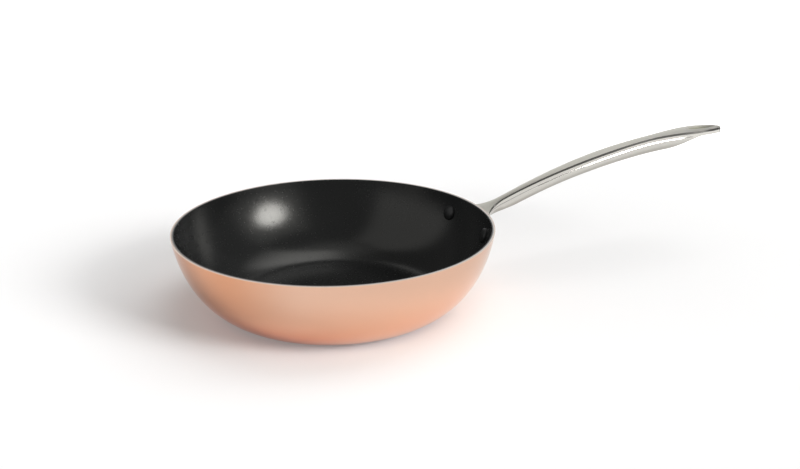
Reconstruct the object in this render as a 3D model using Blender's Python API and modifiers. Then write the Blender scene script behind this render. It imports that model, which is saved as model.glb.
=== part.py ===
"""Copper-clad frying pan: a three-ply bowl with a cast handle held on by two rivets.

Metres, +Z up. The origin is the centre of the flat underside, the handle runs along +X,
and the pan is symmetric about the XZ plane.
"""

import math

import bmesh
import bpy
from mathutils import Matrix, Vector

# Clearance that touching pieces keep, round shapes' facets, and the reach of a weld
SEAM = 0.0003
TURNED_STEPS = 72
WELD = 0.00001

# Bowl: a flat base and an elliptical wall that stops a little before it is upright
RIM_RADIUS = 0.1195
BASE_RADIUS = 0.0675
BOWL_HEIGHT = 0.062
WALL_SWEEP = math.radians(78)
COPPER_THICKNESS = 0.0005
CORE_THICKNESS = 0.0008
LINER_THICKNESS = 0.0004
WALL_POINTS = 11

# Rivets
RIVET_SPACING = 0.0615
RIVET_DROP = 0.015
SHANK_DIAMETER = 0.005
HEAD_DIAMETER = 0.012
HEAD_RISE = 0.0024
TAIL_DIAMETER = 0.009
TAIL_RISE = 0.0016
RIVET_EDGE = 0.0004
RIVET_STEPS = 24
DOME_POINTS = 5

# Riveting flange of the handle
FLANGE_THICKNESS = 0.0026
FLANGE_DROP = 0.0045
FLANGE_ROOT_WIDTH = 0.048
EAR_RADIUS = 0.0085
EAR_POINTS = 12

# Handle in side view: its top edges follow a Bezier curve from the flange, which they
# leave at ROOT_SLOPE, to the tip, which they reach leaning down a little at TIP_SLOPE
ROOT_SLOPE = math.radians(23.4)
ROOT_ARM = 0.110
TIP_SLOPE = math.radians(-4)
TIP_ARM = 0.042
TIP_RISE = 0.0417

# Handle in plan: widths, and the runs from each to the next, starting at the rim
NECK_RUN = 0.0225
NECK_WIDTH = 0.0074
GRIP_RUN = 0.093
GRIP_WIDTH = 0.01275
WAIST_RUN = 0.0405
WAIST_WIDTH = 0.0121
EYE_RUN = 0.0495
EYE_WIDTH = 0.0207
TIP_RUN = 0.028
TIP_SQUARENESS = 2.05

# Handle in depth: depths below the top edges, and the runs from each to the next
NECK_DEPTH = 0.0095
BELLY_RUN = 0.0135
BELLY_DEPTH = 0.0117
LEAN_RUN = 0.033
LEAN_DEPTH = 0.01145
HEEL_RUN = 0.108
HEEL_DEPTH = 0.0129
SCOOP_RUN = 0.033
SLAB_DEPTH = 0.0042

# Handle section: crowned top, rolled edge, upright side strip with a ridge under it and
# a rounded belly
CROWN_RISE = 0.0009
EDGE_ROLL = 0.0009
STRIP_DEPTH = 0.0031
RIDGE_STEP = 0.0003
BELLY_SQUARENESS = 2.4
SLAB_SQUARENESS = 6.0
WEB_EDGE = 0.0012
WEB_SIDE_POWER = 1.6
WEB_DEEP_POWER = 3.0
ROOT_FILLET = 0.010
TOP_POINTS = 3
ROLL_POINTS = 2
BELLY_POINTS = 11
ROOT_STATION_STEP = 0.0024
GRIP_STATION_STEP = 0.0085
TIP_STATIONS = 8
TIP_CAP = 0.0006
BISECTIONS = 30

# Hanging eye: a long oval through the flat end, a little wider towards the pan
EYE_LENGTH = 0.0291
EYE_HALF_WIDTH = 0.0041
EYE_TAPER = 0.19
EYE_END_WALL = 0.0058
EYE_POINTS = 28

SHARP_ANGLE = math.radians(35)


# Scene, collections and materials


def clear_scene():
    for obj in list(bpy.data.objects):
        bpy.data.objects.remove(obj)
    for collection in list(bpy.data.collections):
        bpy.data.collections.remove(collection)


def new_collection(name):
    collection = bpy.data.collections.new(name)
    bpy.context.scene.collection.children.link(collection)
    return collection


def new_material(name, colour, roughness, metallic):
    material = bpy.data.materials.new(name)
    material.use_nodes = True
    shader = material.node_tree.nodes["Principled BSDF"]
    shader.inputs["Base Color"].default_value = (*colour, 1)
    shader.inputs["Roughness"].default_value = roughness
    shader.inputs["Metallic"].default_value = metallic
    return material


def add_object(collection, name, mesh):
    obj = bpy.data.objects.new(name, mesh)
    collection.objects.link(obj)
    return obj


def add_helper(collection, name, mesh):
    """A shape that only cuts or joins another: shown as wire and never rendered."""
    helper = add_object(collection, name, mesh)
    helper.hide_render = True
    helper.display_type = "WIRE"
    return helper


def boolean(obj, operation, other):
    modifier = obj.modifiers.new(f"{operation.lower()} {other.name}", "BOOLEAN")
    modifier.operation = operation
    modifier.object = other


# Turned and extruded shapes


def turned_mesh(name, profile):
    """An edge loop of (radius, height) points in the XZ plane, for a Screw modifier."""
    mesh = bpy.data.meshes.new(name)
    points = [(radius, 0, height) for radius, height in profile]
    last = len(points) - 1
    edges = [(i, i + 1) for i in range(last)]
    if profile[0][0] > 0:
        edges.append((last, 0))
    mesh.from_pydata(points, edges, [])
    return mesh


def turn(obj, steps):
    """Revolves the object's profile once round its Z axis."""
    screw = obj.modifiers.new("turn", "SCREW")
    screw.angle = 2 * math.pi
    screw.steps = steps
    screw.render_steps = steps
    screw.use_merge_vertices = True
    screw.merge_threshold = WELD
    screw.use_smooth_shade = True


def add_prism(collection, name, outline, thickness, place):
    """A helper cut from a flat outline, half its thickness on either side of its own plane."""
    curve = bpy.data.curves.new(name, "CURVE")
    curve.dimensions = "2D"
    curve.fill_mode = "BOTH"
    curve.extrude = thickness / 2
    spline = curve.splines.new("POLY")
    spline.points.add(len(outline) - 1)
    spline.use_cyclic_u = True
    for point, (x, y) in zip(spline.points, outline):
        point.co = (x, y, 0, 1)
    drawn = add_object(collection, name, curve)
    graph = bpy.context.evaluated_depsgraph_get()
    mesh = bpy.data.meshes.new_from_object(drawn.evaluated_get(graph))
    bpy.data.objects.remove(drawn)
    bpy.data.curves.remove(curve)
    shape = bmesh.new()
    shape.from_mesh(mesh)
    bmesh.ops.remove_doubles(shape, verts=shape.verts, dist=WELD)
    bmesh.ops.recalc_face_normals(shape, faces=shape.faces)
    shape.to_mesh(mesh)
    shape.free()
    prism = add_helper(collection, name, mesh)
    prism.matrix_world = place
    return prism


def arc(centre, radius, start, end, count):
    """Points along a circular arc, both ends included, angles in radians."""
    angles = [start + (end - start) * i / (count - 1) for i in range(count)]
    return [(centre[0] + radius * math.cos(a), centre[1] + radius * math.sin(a)) for a in angles]


# Wall of the bowl

WALL_ACROSS = (RIM_RADIUS - BASE_RADIUS) / math.sin(WALL_SWEEP)
WALL_UP = BOWL_HEIGHT / (1 - math.cos(WALL_SWEEP))
LINER_FACE = COPPER_THICKNESS + CORE_THICKNESS + LINER_THICKNESS + 2 * SEAM


def wall_angle(drop):
    """Angle along the ellipse, from the edge of the base, at this distance below the rim."""
    return math.acos(1 - (BOWL_HEIGHT - drop) / WALL_UP)


def wall_normal(angle):
    """Unit (radius, height) direction from the outside of the wall into the bowl."""
    return Vector((-WALL_UP * math.sin(angle), WALL_ACROSS * math.cos(angle))).normalized()


def wall_point(angle, depth):
    """(radius, height) at this depth into the wall; a negative depth lies outside it."""
    across = BASE_RADIUS + WALL_ACROSS * math.sin(angle)
    up = WALL_UP * (1 - math.cos(angle))
    return tuple(Vector((across, up)) + depth * wall_normal(angle))


def wall_side(depth, low, high, count):
    """Points up one face of the wall, evenly spaced in angle."""
    return [wall_point(low + (high - low) * i / (count - 1), depth) for i in range(count)]


def full_side(depth):
    """Points up one face from the edge of the base to the rim, which is trimmed level."""
    side = wall_side(depth, 0, WALL_SWEEP, WALL_POINTS)
    (low, below), (high, above) = side[-2:]
    side[-1] = (low + (high - low) * (BOWL_HEIGHT - below) / (above - below), BOWL_HEIGHT)
    return side


def ply_profile(outer_depth, inner_depth):
    """Closed half section of one ply, up its inner face and down its outer face."""
    inner = [(0, inner_depth)] + full_side(inner_depth)
    outer = [(0, outer_depth)] + full_side(outer_depth)
    return inner + outer[::-1]


# Rivet frame: +Z points into the bowl from the outside of the wall at the rivet

RIVET_WALL_ANGLE = wall_angle(RIVET_DROP)
RIVET_POINT = wall_point(RIVET_WALL_ANGLE, 0)
RIVET_TURN = math.asin(RIVET_SPACING / 2 / RIVET_POINT[0])


def seat_rise(radius):
    """How far a flat disc stands off the middle of the hollow, faceted wall that it spans."""
    angle = RIVET_WALL_ANGLE
    stretch = math.hypot(WALL_ACROSS * math.cos(angle), WALL_UP * math.sin(angle))
    bend = WALL_ACROSS * WALL_UP / stretch**3
    facet = stretch * WALL_SWEEP / (WALL_POINTS - 1)
    round_facet = RIM_RADIUS * math.pi / TURNED_STEPS
    return bend * (radius**2 + facet**2 / 4) / 2 + round_facet**2 / RIM_RADIUS / 2


def rivet_matrix(side):
    """Places the rivet frame on one side of the handle: +1 is +Y, -1 is -Y."""
    inward = wall_normal(RIVET_WALL_ANGLE)
    tilt = math.atan2(inward[0], inward[1])
    place = Matrix.Translation((RIVET_POINT[0], 0, RIVET_POINT[1]))
    return Matrix.Rotation(side * RIVET_TURN, 4, "Z") @ place @ Matrix.Rotation(tilt, 4, "Y")


def dome(radius, height, base, direction):
    """Points from a disc's rounded edge to the pole of its dome."""
    points = []
    for i in range(DOME_POINTS + 1):
        angle = math.pi / 2 * i / DOME_POINTS
        rise = RIVET_EDGE + (height - RIVET_EDGE) * math.sin(angle)
        points.append((radius * math.cos(angle), base + direction * rise))
    points[-1] = (0, points[-1][1])
    return points


def rivet_profile():
    """Head inside the bowl, shank through the wall and flange, formed tail outside."""
    shank = SHANK_DIAMETER / 2
    head = HEAD_DIAMETER / 2
    tail = TAIL_DIAMETER / 2
    head_seat = LINER_FACE + SEAM + seat_rise(head)
    tail_seat = -(SEAM + FLANGE_THICKNESS + SEAM)
    head_side = dome(head, HEAD_RISE, head_seat, 1)[::-1]
    tail_side = dome(tail, TAIL_RISE, tail_seat, -1)
    return (
        head_side
        + [(head, head_seat), (shank, head_seat), (shank, tail_seat), (tail, tail_seat)]
        + tail_side
    )


def shank_cutter(collection, side):
    """The rivet hole: a round bar through liner, core, copper and flange."""
    radius = SHANK_DIAMETER / 2 + SEAM
    reach = LINER_FACE + FLANGE_THICKNESS + HEAD_RISE
    mesh = bpy.data.meshes.new("rivet hole")
    bar = bmesh.new()
    bmesh.ops.create_cone(
        bar,
        cap_ends=True,
        segments=RIVET_STEPS,
        radius1=radius,
        radius2=radius,
        depth=2 * reach,
        matrix=rivet_matrix(side),
    )
    bar.to_mesh(mesh)
    bar.free()
    return add_helper(collection, "rivet_hole", mesh)


# Handle: smooth changes of width, depth and height along the run from the rim


def ease(run, stops):
    """Value at this run between (run, value) stops, level at each of them."""
    for (start, low), (end, high) in zip(stops, stops[1:]):
        if run < end:
            share = max(0, (run - start) / (end - start))
            return low + (high - low) * share * share * (3 - 2 * share)
    return stops[-1][1]


EYE_CENTRE = NECK_RUN + GRIP_RUN + WAIST_RUN + EYE_RUN
REACH = EYE_CENTRE + TIP_RUN
FLANGE_FACE = wall_point(wall_angle(FLANGE_DROP), -(SEAM + FLANGE_THICKNESS))[0]
ROOT_RUN = FLANGE_FACE - RIM_RADIUS
ROOT_START = -(ROOT_FILLET + FLANGE_THICKNESS)
WIDTH_STOPS = [
    (NECK_RUN, NECK_WIDTH),
    (NECK_RUN + GRIP_RUN, GRIP_WIDTH),
    (NECK_RUN + GRIP_RUN + WAIST_RUN, WAIST_WIDTH),
    (EYE_CENTRE, EYE_WIDTH),
]
BELLY_AT = NECK_RUN + BELLY_RUN
HEEL_AT = BELLY_AT + LEAN_RUN + HEEL_RUN
DEPTH_STOPS = [
    (NECK_RUN - ROOT_FILLET, NECK_DEPTH),
    (BELLY_AT, BELLY_DEPTH),
    (BELLY_AT + LEAN_RUN, LEAN_DEPTH),
    (HEEL_AT, HEEL_DEPTH),
    (HEEL_AT + SCOOP_RUN, SLAB_DEPTH),
]
SQUARE_STOPS = [(HEEL_AT, BELLY_SQUARENESS), (HEEL_AT + SCOOP_RUN, SLAB_SQUARENESS)]
RIDGE_STOPS = [(NECK_RUN, 1), (NECK_RUN + GRIP_RUN, 0)]


def neck_fillet():
    """Radius of the arcs that flare the neck in plan until they are tangent to the flange.

    Each arc's centre lies NECK_RUN out from the rim and one radius beyond the neck's side.
    """
    along = RIM_RADIUS + NECK_RUN
    side = NECK_WIDTH / 2
    return (along**2 + side**2 - FLANGE_FACE**2) / (2 * (FLANGE_FACE - side))


def half_width(run):
    if run >= EYE_CENTRE:
        share = min(1, (run - EYE_CENTRE) / TIP_RUN)
        return EYE_WIDTH / 2 * (1 - share**TIP_SQUARENESS) ** (1 / TIP_SQUARENESS)
    if run >= NECK_RUN:
        return ease(run, WIDTH_STOPS) / 2
    radius = neck_fillet()
    back = min(NECK_RUN - run, radius)
    flare = NECK_WIDTH / 2 + radius - math.sqrt(radius**2 - back**2)
    return min(flare, FLANGE_ROOT_WIDTH / 2)


def bezier(points, share):
    """Point on a cubic Bezier curve."""
    rest = 1 - share
    weights = (rest**3, 3 * rest**2 * share, 3 * rest * share**2, share**3)
    return sum((w * Vector(p) for w, p in zip(weights, points)), Vector((0, 0)))


def top_edge(run):
    """Height of the handle's top edges above the rim."""
    root, tip = Vector((ROOT_RUN, -FLANGE_DROP)), Vector((REACH, TIP_RISE))
    leaving = ROOT_ARM * Vector((math.cos(ROOT_SLOPE), math.sin(ROOT_SLOPE)))
    arriving = TIP_ARM * Vector((math.cos(TIP_SLOPE), math.sin(TIP_SLOPE)))
    points = (root, root + leaving, tip - arriving, tip)
    low, high = 0.0, 1.0
    for _ in range(BISECTIONS):
        middle = (low + high) / 2
        if bezier(points, middle)[0] < run:
            low = middle
        else:
            high = middle
    return bezier(points, low)[1]


def belly_depth(run):
    """Depth of the keel below the top edges, filleted into the flange at the root."""
    depth = ease(run, DEPTH_STOPS)
    back = min(max(0, ROOT_RUN + ROOT_FILLET - run), ROOT_FILLET)
    return depth + ROOT_FILLET - math.sqrt(ROOT_FILLET**2 - back**2)


def section(run):
    """Closed ring of points round the handle at one run, starting on the -Y top edge."""
    half = half_width(run)
    top = top_edge(run)
    depth = belly_depth(run)
    web = min(1, max(0, (NECK_RUN - run) / (NECK_RUN - ROOT_RUN)))
    crown = min(CROWN_RISE, half / 4)
    roll = min(EDGE_ROLL, half / 4)
    strip = min(depth / 3, STRIP_DEPTH + (WEB_EDGE - STRIP_DEPTH) * web)
    step = min(RIDGE_STEP * ease(run, RIDGE_STOPS), half / 8)
    square = ease(run, SQUARE_STOPS)
    side_power = 2 / square + (WEB_SIDE_POWER - 2 / square) * web
    deep_power = 2 / square + (WEB_DEEP_POWER - 2 / square) * web
    near = []
    flat = half - roll
    for i in range(TOP_POINTS):
        across = flat * i / TOP_POINTS
        near.append((across, crown * (1 - (across / half) ** 2)))
    brow = crown * (1 - (flat / half) ** 2)
    for i in range(ROLL_POINTS + 1):
        angle = math.pi / 2 * i / ROLL_POINTS
        near.append((flat + roll * math.sin(angle), (roll + brow) * math.cos(angle) - roll))
    near.append((half, -strip))
    for i in range(BELLY_POINTS + 1):
        angle = math.pi / 2 * i / BELLY_POINTS
        across = (half - step) * math.cos(angle) ** side_power
        below = (depth - strip - step) * math.sin(angle) ** deep_power
        near.append((across if i < BELLY_POINTS else 0, -strip - step - below))
    ring = near + [(-across, height) for across, height in near[-2:0:-1]]
    x = RIM_RADIUS + run
    z = BOWL_HEIGHT + top
    return [(x, across, z + height) for across, height in ring]


def station_runs():
    """Runs at which the handle has a section: close in the root, the scoop and the tip."""
    runs = []
    run = ROOT_START
    while run < NECK_RUN:
        runs.append(run)
        run += ROOT_STATION_STEP
    count = math.ceil((EYE_CENTRE - NECK_RUN) / GRIP_STATION_STEP)
    runs += [NECK_RUN + (EYE_CENTRE - NECK_RUN) * i / count for i in range(count)]
    for i in range(TIP_STATIONS + 1):
        share = math.sin(math.pi / 2 * i / TIP_STATIONS)
        runs.append(EYE_CENTRE + (TIP_RUN - TIP_CAP) * share)
    return runs


def handle_loft():
    """Skins the sections one after the other and closes both ends."""
    mesh = bpy.data.meshes.new("handle")
    shape = bmesh.new()
    rings = [[shape.verts.new(point) for point in section(run)] for run in station_runs()]
    count = len(rings[0])
    for first, second in zip(rings, rings[1:]):
        for i in range(count):
            j = (i + 1) % count
            shape.faces.new((first[i], first[j], second[j], second[i]))
    shape.faces.new(rings[0])
    shape.faces.new(rings[-1])
    bmesh.ops.recalc_face_normals(shape, faces=shape.faces)
    shape.to_mesh(mesh)
    shape.free()
    mesh.shade_smooth()
    mesh.set_sharp_from_angle(angle=SHARP_ANGLE)
    return mesh


def flange_outline():
    """Front view of the flange, looking along X: an ear round each rivet and a plate between."""
    ear = (RIVET_SPACING / 2, BOWL_HEIGHT - RIVET_DROP)
    corner = (FLANGE_ROOT_WIDTH / 2, BOWL_HEIGHT - FLANGE_DROP)
    across, up = corner[0] - ear[0], corner[1] - ear[1]
    meet = math.atan2(up, across) - math.acos(min(1, EAR_RADIUS / math.hypot(across, up)))
    half = [corner] + arc(ear, EAR_RADIUS, meet, -math.pi / 2, EAR_POINTS)
    return half + [(-across, up) for across, up in half[::-1]]


def flange_object(collection):
    """The flange: a turned band that hugs the wall, cut to the outline.

    Its inner face runs a little inside the wall, where the bowl is cut from the handle.
    """
    low = wall_angle(RIVET_DROP + 2 * EAR_RADIUS)
    high = wall_angle(FLANGE_DROP / 2)
    outer = wall_side(-(SEAM + FLANGE_THICKNESS), low, high, WALL_POINTS)
    inner = wall_side(SEAM, low, high, WALL_POINTS)
    flange = add_helper(collection, "flange", turned_mesh("flange", inner + outer[::-1]))
    turn(flange, TURNED_STEPS)
    upright = Matrix(((0, 0, 1, RIM_RADIUS), (1, 0, 0, 0), (0, 1, 0, 0), (0, 0, 0, 1)))
    plate = add_prism(collection, "flange_outline", flange_outline(), RIM_RADIUS, upright)
    boolean(flange, "INTERSECT", plate)
    return flange


def bowl_envelope(collection):
    """Everything that the bowl fills or encloses, with the seam added outside it."""
    wall = full_side(-SEAM)
    above = BOWL_HEIGHT + ROOT_FILLET
    profile = [(0, above), (wall[-1][0], above)] + wall[::-1] + [(0, -SEAM)]
    envelope = add_helper(collection, "bowl_envelope", turned_mesh("bowl envelope", profile))
    turn(envelope, TURNED_STEPS)
    return envelope


def eye_cutter(collection):
    """The hanging eye: an oval whose wider end is towards the pan."""
    outline = []
    for i in range(EYE_POINTS):
        angle = 2 * math.pi * i / EYE_POINTS
        back = EYE_END_WALL + EYE_LENGTH * (1 + math.cos(angle)) / 2
        fullness = math.sin(angle) * (1 + EYE_TAPER * math.cos(angle))
        outline.append((-back, EYE_HALF_WIDTH * fullness))
    tip = Matrix.Translation((RIM_RADIUS + REACH, 0, BOWL_HEIGHT + TIP_RISE - SLAB_DEPTH / 2))
    return add_prism(collection, "eye", outline, 2 * HEEL_DEPTH, tip)


# The finished pieces


def add_ply(collection, name, outer_depth, thickness, holes, material):
    profile = ply_profile(outer_depth, outer_depth + thickness)
    ply = add_object(collection, name, turned_mesh(name, profile))
    ply.data.materials.append(material)
    turn(ply, TURNED_STEPS)
    for hole in holes:
        boolean(ply, "DIFFERENCE", hole)


def add_handle(collection, cutters, holes, material):
    handle = add_object(collection, "handle", handle_loft())
    handle.data.materials.append(material)
    boolean(handle, "UNION", flange_object(cutters))
    boolean(handle, "DIFFERENCE", bowl_envelope(cutters))
    boolean(handle, "DIFFERENCE", eye_cutter(cutters))
    for hole in holes:
        boolean(handle, "DIFFERENCE", hole)


def build():
    clear_scene()
    pan = new_collection("copper_frying_pan")
    cutters = new_collection("cutters")

    copper = new_material("satin copper", (0.80, 0.42, 0.27), 0.32, 1.0)
    aluminium = new_material("aluminium", (0.72, 0.72, 0.72), 0.35, 1.0)
    coating = new_material("black non-stick coating", (0.012, 0.012, 0.013), 0.38, 0.0)
    steel = new_material("cast stainless steel", (0.62, 0.60, 0.56), 0.28, 1.0)

    holes = [shank_cutter(cutters, side) for side in (-1, 1)]
    core_depth = COPPER_THICKNESS + SEAM
    liner_depth = core_depth + CORE_THICKNESS + SEAM
    add_ply(pan, "copper_skin", 0, COPPER_THICKNESS, holes, copper)
    add_ply(pan, "aluminium_core", core_depth, CORE_THICKNESS, holes, aluminium)
    add_ply(pan, "nonstick_liner", liner_depth, LINER_THICKNESS, holes, coating)
    add_handle(pan, cutters, holes, steel)

    rivet_mesh = turned_mesh("rivet", rivet_profile())
    rivet_mesh.materials.append(coating)
    for name, side in (("left_rivet", -1), ("right_rivet", 1)):
        rivet = add_object(pan, name, rivet_mesh)
        rivet.matrix_world = rivet_matrix(side)
        turn(rivet, RIVET_STEPS)


build()
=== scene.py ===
import math

import bmesh
import bpy
from mathutils import Matrix, Vector


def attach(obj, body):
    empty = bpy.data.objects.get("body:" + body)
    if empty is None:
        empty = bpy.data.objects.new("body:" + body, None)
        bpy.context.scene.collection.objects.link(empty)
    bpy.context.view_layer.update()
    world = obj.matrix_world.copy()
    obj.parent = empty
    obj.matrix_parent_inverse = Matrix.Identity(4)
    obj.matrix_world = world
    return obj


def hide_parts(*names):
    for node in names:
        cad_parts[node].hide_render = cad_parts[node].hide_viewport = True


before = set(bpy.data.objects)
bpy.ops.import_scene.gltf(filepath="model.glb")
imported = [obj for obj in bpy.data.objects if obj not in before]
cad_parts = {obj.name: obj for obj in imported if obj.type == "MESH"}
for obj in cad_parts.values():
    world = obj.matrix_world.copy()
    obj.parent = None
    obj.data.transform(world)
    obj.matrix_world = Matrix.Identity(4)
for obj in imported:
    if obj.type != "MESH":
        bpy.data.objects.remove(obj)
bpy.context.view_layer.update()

# Camera
#
# A long lens a little above the pan and in front of its left side, so that the handle
# runs off to the right and away.

HEADING = math.radians(23.07)
PITCH = math.radians(19.817)
PHOTO_WIDTH = 800
FOCAL_PIXELS = 986
SENSOR_WIDTH = 36.0
NEAREST_SEEN = 0.01
CAMERA_AT = (-0.2265, -0.6568, 0.3040)


def add_object(name, data):
    """Puts an object with this data in the scene."""
    item = bpy.data.objects.new(name, data)
    bpy.context.scene.collection.objects.link(item)
    return item


camera = add_object("camera", bpy.data.cameras.new("camera"))
camera.data.sensor_width = SENSOR_WIDTH
camera.data.lens = FOCAL_PIXELS * SENSOR_WIDTH / PHOTO_WIDTH
camera.data.clip_start = NEAREST_SEEN
camera.location = CAMERA_AT
camera.rotation_euler = (math.pi / 2 - PITCH, 0, -HEADING)
bpy.context.scene.camera = camera
bpy.context.scene.view_settings.view_transform = "Standard"

# Copper skin
#
# The outside of the bowl: about half a millimetre of copper, drawn over the core and spun
# to a satin finish. Its edge is ground off level at the rim, where the copper is worn thin.

RIM_RADIUS = 0.1195
BASE_RADIUS = 0.0675
BOWL_HEIGHT = 0.062
WALL_SWEEP = math.radians(78)
COPPER_BACK = 0.0007
WALL_STEPS = 64
AROUND_STEPS = 288
BASE_SHARE = 0.3
WELD = 0.00001
GRAIN_HEIGHT = 0.0001
SOFT_DETAIL = 2.0
FINE_DETAIL = 3.0


class Flow:
    """A socket of a node tree. Arithmetic on it adds Math nodes to the same tree."""

    def __init__(self, tree, socket=None):
        self.tree = tree
        self.socket = socket

    def node(self, kind, settings=None, values=None, output=None):
        """Adds a node: its settings first, then the values or links of its sockets."""
        made = self.tree.nodes.new(kind)
        for name, setting in (settings or {}).items():
            setattr(made, name, setting)
        for name, value in (values or {}).items():
            socket = pick(made.inputs, name)
            if isinstance(value, Flow):
                self.tree.links.new(value.socket, socket)
            else:
                socket.default_value = value
        return Flow(self.tree, pick(made.outputs, output))

    def math(self, operation, *values):
        return self.node("ShaderNodeMath", {"operation": operation}, dict(enumerate(values)))

    def vector(self, operation, *values, output=None):
        settings = {"operation": operation}
        return self.node("ShaderNodeVectorMath", settings, dict(enumerate(values)), output)

    def blend(self, amount, low, high):
        """Mixes two colours."""
        values = {"Factor": amount, "A": low, "B": high}
        return self.node("ShaderNodeMix", {"data_type": "RGBA"}, values)

    def ramp(self, low, high):
        """0 where this is at low, 1 where it is at high, eased between them."""
        settings = {"interpolation_type": "SMOOTHSTEP"}
        values = {"Value": self, "From Min": low, "From Max": high}
        return self.node("ShaderNodeMapRange", settings, values)

    def part(self, name):
        """One component of a vector."""
        return self.node("ShaderNodeSeparateXYZ", None, {0: self}, name)

    def noise(self, scale, detail=SOFT_DETAIL):
        """Soft noise between 0 and 1, read at this place."""
        values = {"Vector": self, "Scale": scale, "Detail": detail}
        return self.node("ShaderNodeTexNoise", None, values)

    def bump(self, strength):
        """The normal of a surface whose grain is as high as this."""
        values = {"Strength": strength, "Distance": GRAIN_HEIGHT, "Height": self}
        return self.node("ShaderNodeBump", None, values)

    def __add__(self, other):
        return self.math("ADD", self, other)

    def __radd__(self, other):
        return self.math("ADD", other, self)

    def __sub__(self, other):
        return self.math("SUBTRACT", self, other)

    def __rsub__(self, other):
        return self.math("SUBTRACT", other, self)

    def __mul__(self, other):
        return self.math("MULTIPLY", self, other)

    def __rmul__(self, other):
        return self.math("MULTIPLY", other, self)

    def __truediv__(self, other):
        return self.math("DIVIDE", self, other)

    def __rtruediv__(self, other):
        return self.math("DIVIDE", other, self)

    def __pow__(self, other):
        return self.math("POWER", self, other)

    def __lt__(self, other):
        return self.math("LESS_THAN", self, other)

    def __gt__(self, other):
        return self.math("GREATER_THAN", self, other)


def pick(sockets, name):
    """The socket in use that has this name or number, or the first one in use."""
    if isinstance(name, int):
        return sockets[name]
    return next((s for s in sockets if s.enabled and name in (None, s.name)), None)


def new_tree(name, inputs):
    """A geometry tree with a geometry in and out and these named inputs."""
    tree = bpy.data.node_groups.new(name, "GeometryNodeTree")
    tree.interface.new_socket("Geometry", in_out="OUTPUT", socket_type="NodeSocketGeometry")
    tree.interface.new_socket("Geometry", in_out="INPUT", socket_type="NodeSocketGeometry")
    for label, kind in inputs:
        tree.interface.new_socket(label, in_out="INPUT", socket_type="NodeSocket" + kind)
    entry = tree.nodes.new("NodeGroupInput")
    flows = {socket.name: Flow(tree, socket) for socket in entry.outputs if socket.name}
    return tree, flows


def end_tree(tree, geometry, finish):
    """Realizes the instances, sets the material and ends the tree."""
    real = geometry.node("GeometryNodeRealizeInstances", None, {"Geometry": geometry})
    values = {"Geometry": real, "Material": finish}
    dressed = geometry.node("GeometryNodeSetMaterial", None, values)
    tree.links.new(dressed.socket, tree.nodes.new("NodeGroupOutput").inputs[0])


def shell_tree():
    """A bowl's layer: a flat floor and an elliptical wall between two depths, trimmed level."""
    sizes = ("Rim Radius", "Base Radius", "Height", "Sweep", "Outer Depth", "Inner Depth")
    inputs = [(name, "Float") for name in sizes]
    inputs += [("Wall Steps", "Int"), ("Around Steps", "Int"), ("Finish", "Material")]
    tree, size = new_tree("bowl layer", inputs)
    grid = size["Height"].node(
        "GeometryNodeMeshGrid",
        None,
        {
            "Size X": 1.0,
            "Size Y": 1.0,
            "Vertices X": 2 * size["Wall Steps"],
            "Vertices Y": size["Around Steps"] + 1,
        },
    )
    place = grid.node("GeometryNodeInputPosition")
    number = (place.part("X") + 0.5) * (2 * size["Wall Steps"] - 1)
    inner = number < size["Wall Steps"] - 0.5
    back = 2 * size["Wall Steps"] - 1 - number
    climb = (inner * number + (1 - inner) * back) / (size["Wall Steps"] - 1)
    depth = inner * size["Inner Depth"] + (1 - inner) * size["Outer Depth"]
    out = grid.math("MINIMUM", climb / BASE_SHARE, 1.0)
    turn = grid.math("MAXIMUM", climb - BASE_SHARE, 0.0) / (1 - BASE_SHARE)
    angle = turn * size["Sweep"]
    sine, cosine = grid.math("SINE", angle), grid.math("COSINE", angle)
    across = (size["Rim Radius"] - size["Base Radius"]) / grid.math("SINE", size["Sweep"])
    up = size["Height"] / (1 - grid.math("COSINE", size["Sweep"]))
    length = grid.math("SQRT", (up * sine) ** 2.0 + (across * cosine) ** 2.0)
    radius = out * size["Base Radius"] + across * sine - depth * up * sine / length
    height = up * (1 - cosine) + depth * across * cosine / length
    level = grid.math("MINIMUM", height, size["Height"])
    round_angle = (place.part("Y") + 0.5) * (2 * math.pi)
    spot = grid.node(
        "ShaderNodeCombineXYZ",
        None,
        {
            "X": radius * grid.math("COSINE", round_angle),
            "Y": radius * grid.math("SINE", round_angle),
            "Z": level,
        },
    )
    moved = grid.node("GeometryNodeSetPosition", None, {"Geometry": grid, "Position": spot})
    welded = grid.node(
        "GeometryNodeMergeByDistance", None, {"Geometry": moved, "Distance": WELD}
    )
    end_tree(tree, welded, size["Finish"])
    return tree


def grown(name, source, tree, values):
    """Runs a geometry tree on a mesh with its inputs set, and keeps the result as a mesh."""
    seed = add_object(name + " seed", source)
    modifier = seed.modifiers.new("build", "NODES")
    modifier.node_group = tree
    for item in tree.interface.items_tree:
        if item.in_out == "INPUT" and item.name in values:
            modifier[item.identifier] = values[item.name]
    graph = bpy.context.evaluated_depsgraph_get()
    mesh = bpy.data.meshes.new_from_object(seed.evaluated_get(graph))
    bpy.data.objects.remove(seed)
    mesh.name = name
    return mesh


def close_up(mesh, sharp_angle):
    """Merges doubles, points the faces outwards and shades smooth but for sharp edges."""
    shape = bmesh.new()
    shape.from_mesh(mesh)
    bmesh.ops.remove_doubles(shape, verts=shape.verts, dist=WELD)
    bmesh.ops.recalc_face_normals(shape, faces=shape.faces)
    shape.to_mesh(mesh)
    shape.free()
    mesh.shade_smooth()
    mesh.set_sharp_from_angle(angle=sharp_angle)


def seat(name, mesh, slot, *nodes):
    """Places a finished mesh on the pan in place of these solids."""
    piece = add_object(name, mesh)
    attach(piece, "root")
    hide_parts(*nodes)


def new_finish(name):
    """A new material, its flow and its object coordinates."""
    finish = bpy.data.materials.new(name)
    finish.use_nodes = True
    finish.node_tree.nodes.clear()
    flow = Flow(finish.node_tree)
    place = flow.node("ShaderNodeTexCoord", None, None, "Object")
    return finish, flow, place


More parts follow.
